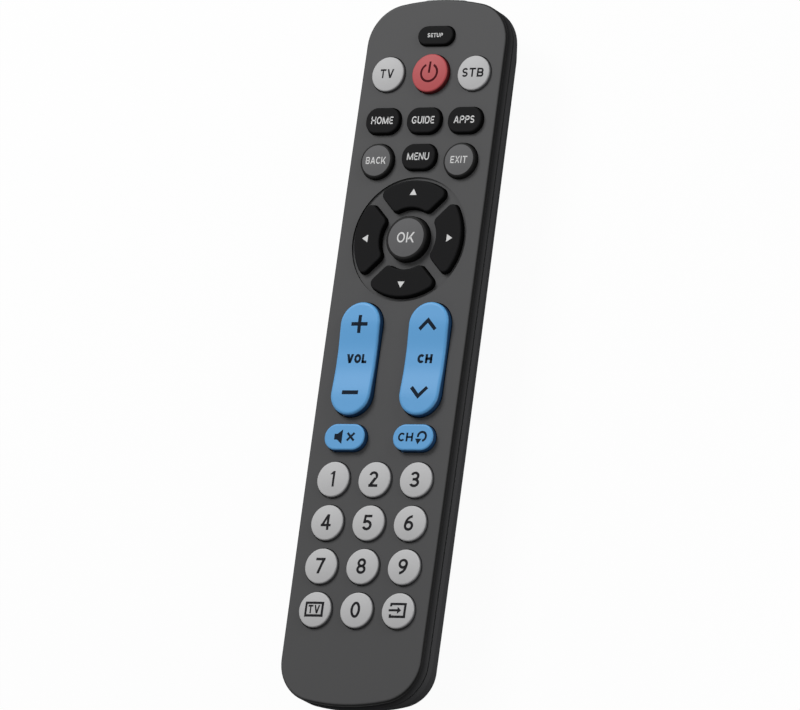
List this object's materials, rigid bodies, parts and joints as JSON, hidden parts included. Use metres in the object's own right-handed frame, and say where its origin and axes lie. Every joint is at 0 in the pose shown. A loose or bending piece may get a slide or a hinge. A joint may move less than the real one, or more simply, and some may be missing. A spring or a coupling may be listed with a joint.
{
  "type": "remote control",
  "caption": "Slim universal remote control with rounded ends, domed number keys, a round cursor pad, two rocker keys, an infrared window and a sliding battery door over two small cells",
  "frame": {"origin": "on the back, under the middle of the bounding box", "axes": "+Y towards the end that sends the signal, +Z out of the key face, +X to the right when the face is read"},
  "size_m": [0.043, 0.1952, 0.021],
  "materials": {
    "case_black": "fine satin moulding",
    "face_grey": "satin grey skin",
    "rear_grey": "fine textured moulding",
    "window_grey": "smooth, lets infrared through",
    "mat_rubber": "soft silicone",
    "board_green": "glass fibre board with solder mask",
    "carbon": "printed carbon",
    "lamp_clear": "clear epoxy",
    "chip_black": "moulded epoxy",
    "ceramic_blue": "dipped coating",
    "can_aluminium": "drawn can",
    "ceramic_tan": "fired ceramic",
    "contact_steel": "nickel plated",
    "cell_can": "printed sleeve",
    "key_black": "satin, soft edges",
    "key_light": "satin, light grey",
    "key_grey": "satin, mid grey",
    "key_blue": "satin, sky blue",
    "key_red": "satin, soft red"
  },
  "bodies": {
    "body": {"top_case": "case_black", "face_plate": "face_grey", "rear_case": "rear_grey", "ir_window": "window_grey", "keypad_mat": "mat_rubber", "circuit_board": "board_green", "contact_pads": "carbon", "power_lamp": "lamp_clear", "ir_leds": "lamp_clear", "controller_chip": "chip_black", "ceramic_resonator": "ceramic_blue", "capacitor": "can_aluminium", "transistor": "chip_black", "chip_resistors": "chip_black", "chip_capacitors": "ceramic_tan", "positive_contact": "contact_steel", "negative_contact": "contact_steel", "bridge_contact": "contact_steel", "battery_springs": "contact_steel", "battery_left": "cell_can", "battery_right": "cell_can", "board_screws": "contact_steel"},
    "battery_door": {"battery_door": "rear_grey"},
    "key_1": {"key_1": "key_light"},
    "key_2": {"key_2": "key_light"},
    "key_3": {"key_3": "key_light"},
    "key_4": {"key_4": "key_light"},
    "key_5": {"key_5": "key_light"},
    "key_6": {"key_6": "key_light"},
    "key_7": {"key_7": "key_light"},
    "key_8": {"key_8": "key_light"},
    "key_9": {"key_9": "key_light"},
    "key_tv_input": {"key_tv_input": "key_light"},
    "key_0": {"key_0": "key_light"},
    "key_input": {"key_input": "key_light"},
    "key_volume": {"key_volume": "key_black"},
    "key_channel": {"key_channel": "key_black"},
    "key_up": {"key_up": "key_black"},
    "key_down": {"key_down": "key_black"},
    "key_left": {"key_left": "key_black"},
    "key_right": {"key_right": "key_black"},
    "key_home": {"key_home": "key_black"},
    "key_guide": {"key_guide": "key_black"},
    "key_apps": {"key_apps": "key_black"},
    "key_menu": {"key_menu": "key_black"},
    "key_setup": {"key_setup": "key_black"},
    "key_tv": {"key_tv": "key_light"},
    "key_stb": {"key_stb": "key_light"},
    "key_back": {"key_back": "key_grey"},
    "key_exit": {"key_exit": "key_grey"},
    "key_ok": {"key_ok": "key_grey"},
    "key_mute": {"key_mute": "key_blue"},
    "key_channel_recall": {"key_channel_recall": "key_blue"},
    "key_power": {"key_power": "key_red"}
  },
  "joints": [
    {"name": "battery_door_slide", "type": "slide", "parent": "body", "child": "battery_door", "axis": [0, -1, 0], "range_m": [0, 0.06]},
    {"name": "key_volume_tilt", "type": "hinge", "parent": "body", "child": "key_volume", "pos_m": [-0.01035, -0.00352, 0.01565], "axis": [1, 0, 0], "range_deg": [-3.5, 3.5], "stiffness_Nm_per_rad": 0.3},
    {"name": "key_channel_tilt", "type": "hinge", "parent": "body", "child": "key_channel", "pos_m": [0.01035, -0.00352, 0.01565], "axis": [1, 0, 0], "range_deg": [-3.5, 3.5], "stiffness_Nm_per_rad": 0.3},
    {"name": "key_1_press", "type": "slide", "parent": "body", "child": "key_1", "axis": [0, 0, -1], "range_m": [0, 0.001], "stiffness_N_per_m": 1000},
    {"name": "key_2_press", "type": "slide", "parent": "body", "child": "key_2", "axis": [0, 0, -1], "range_m": [0, 0.001], "stiffness_N_per_m": 1000},
    {"name": "key_3_press", "type": "slide", "parent": "body", "child": "key_3", "axis": [0, 0, -1], "range_m": [0, 0.001], "stiffness_N_per_m": 1000},
    {"name": "key_4_press", "type": "slide", "parent": "body", "child": "key_4", "axis": [0, 0, -1], "range_m": [0, 0.001], "stiffness_N_per_m": 1000},
    {"name": "key_5_press", "type": "slide", "parent": "body", "child": "key_5", "axis": [0, 0, -1], "range_m": [0, 0.001], "stiffness_N_per_m": 1000},
    {"name": "key_6_press", "type": "slide", "parent": "body", "child": "key_6", "axis": [0, 0, -1], "range_m": [0, 0.001], "stiffness_N_per_m": 1000},
    {"name": "key_7_press", "type": "slide", "parent": "body", "child": "key_7", "axis": [0, 0, -1], "range_m": [0, 0.001], "stiffness_N_per_m": 1000},
    {"name": "key_8_press", "type": "slide", "parent": "body", "child": "key_8", "axis": [0, 0, -1], "range_m": [0, 0.001], "stiffness_N_per_m": 1000},
    {"name": "key_9_press", "type": "slide", "parent": "body", "child": "key_9", "axis": [0, 0, -1], "range_m": [0, 0.001], "stiffness_N_per_m": 1000},
    {"name": "key_tv_input_press", "type": "slide", "parent": "body", "child": "key_tv_input", "axis": [0, 0, -1], "range_m": [0, 0.001], "stiffness_N_per_m": 1000},
    {"name": "key_0_press", "type": "slide", "parent": "body", "child": "key_0", "axis": [0, 0, -1], "range_m": [0, 0.001], "stiffness_N_per_m": 1000},
    {"name": "key_input_press", "type": "slide", "parent": "body", "child": "key_input", "axis": [0, 0, -1], "range_m": [0, 0.001], "stiffness_N_per_m": 1000},
    {"name": "key_up_press", "type": "slide", "parent": "body", "child": "key_up", "axis": [0, 0, -1], "range_m": [0, 0.001], "stiffness_N_per_m": 1000},
    {"name": "key_down_press", "type": "slide", "parent": "body", "child": "key_down", "axis": [0, 0, -1], "range_m": [0, 0.001], "stiffness_N_per_m": 1000},
    {"name": "key_left_press", "type": "slide", "parent": "body", "child": "key_left", "axis": [0, 0, -1], "range_m": [0, 0.001], "stiffness_N_per_m": 1000},
    {"name": "key_right_press", "type": "slide", "parent": "body", "child": "key_right", "axis": [0, 0, -1], "range_m": [0, 0.001], "stiffness_N_per_m": 1000},
    {"name": "key_home_press", "type": "slide", "parent": "body", "child": "key_home", "axis": [0, 0, -1], "range_m": [0, 0.001], "stiffness_N_per_m": 1000},
    {"name": "key_guide_press", "type": "slide", "parent": "body", "child": "key_guide", "axis": [0, 0, -1], "range_m": [0, 0.001], "stiffness_N_per_m": 1000},
    {"name": "key_apps_press", "type": "slide", "parent": "body", "child": "key_apps", "axis": [0, 0, -1], "range_m": [0, 0.001], "stiffness_N_per_m": 1000},
    {"name": "key_menu_press", "type": "slide", "parent": "body", "child": "key_menu", "axis": [0, 0, -1], "range_m": [0, 0.001], "stiffness_N_per_m": 1000},
    {"name": "key_setup_press", "type": "slide", "parent": "body", "child": "key_setup", "axis": [0, 0, -1], "range_m": [0, 0.001], "stiffness_N_per_m": 1000},
    {"name": "key_tv_press", "type": "slide", "parent": "body", "child": "key_tv", "axis": [0, 0, -1], "range_m": [0, 0.001], "stiffness_N_per_m": 1000},
    {"name": "key_stb_press", "type": "slide", "parent": "body", "child": "key_stb", "axis": [0, 0, -1], "range_m": [0, 0.001], "stiffness_N_per_m": 1000},
    {"name": "key_back_press", "type": "slide", "parent": "body", "child": "key_back", "axis": [0, 0, -1], "range_m": [0, 0.001], "stiffness_N_per_m": 1000},
    {"name": "key_exit_press", "type": "slide", "parent": "body", "child": "key_exit", "axis": [0, 0, -1], "range_m": [0, 0.001], "stiffness_N_per_m": 1000},
    {"name": "key_ok_press", "type": "slide", "parent": "body", "child": "key_ok", "axis": [0, 0, -1], "range_m": [0, 0.001], "stiffness_N_per_m": 1000},
    {"name": "key_mute_press", "type": "slide", "parent": "body", "child": "key_mute", "axis": [0, 0, -1], "range_m": [0, 0.001], "stiffness_N_per_m": 1000},
    {"name": "key_channel_recall_press", "type": "slide", "parent": "body", "child": "key_channel_recall", "axis": [0, 0, -1], "range_m": [0, 0.001], "stiffness_N_per_m": 1000},
    {"name": "key_power_press", "type": "slide", "parent": "body", "child": "key_power", "axis": [0, 0, -1], "range_m": [0, 0.001], "stiffness_N_per_m": 1000}
  ]
}
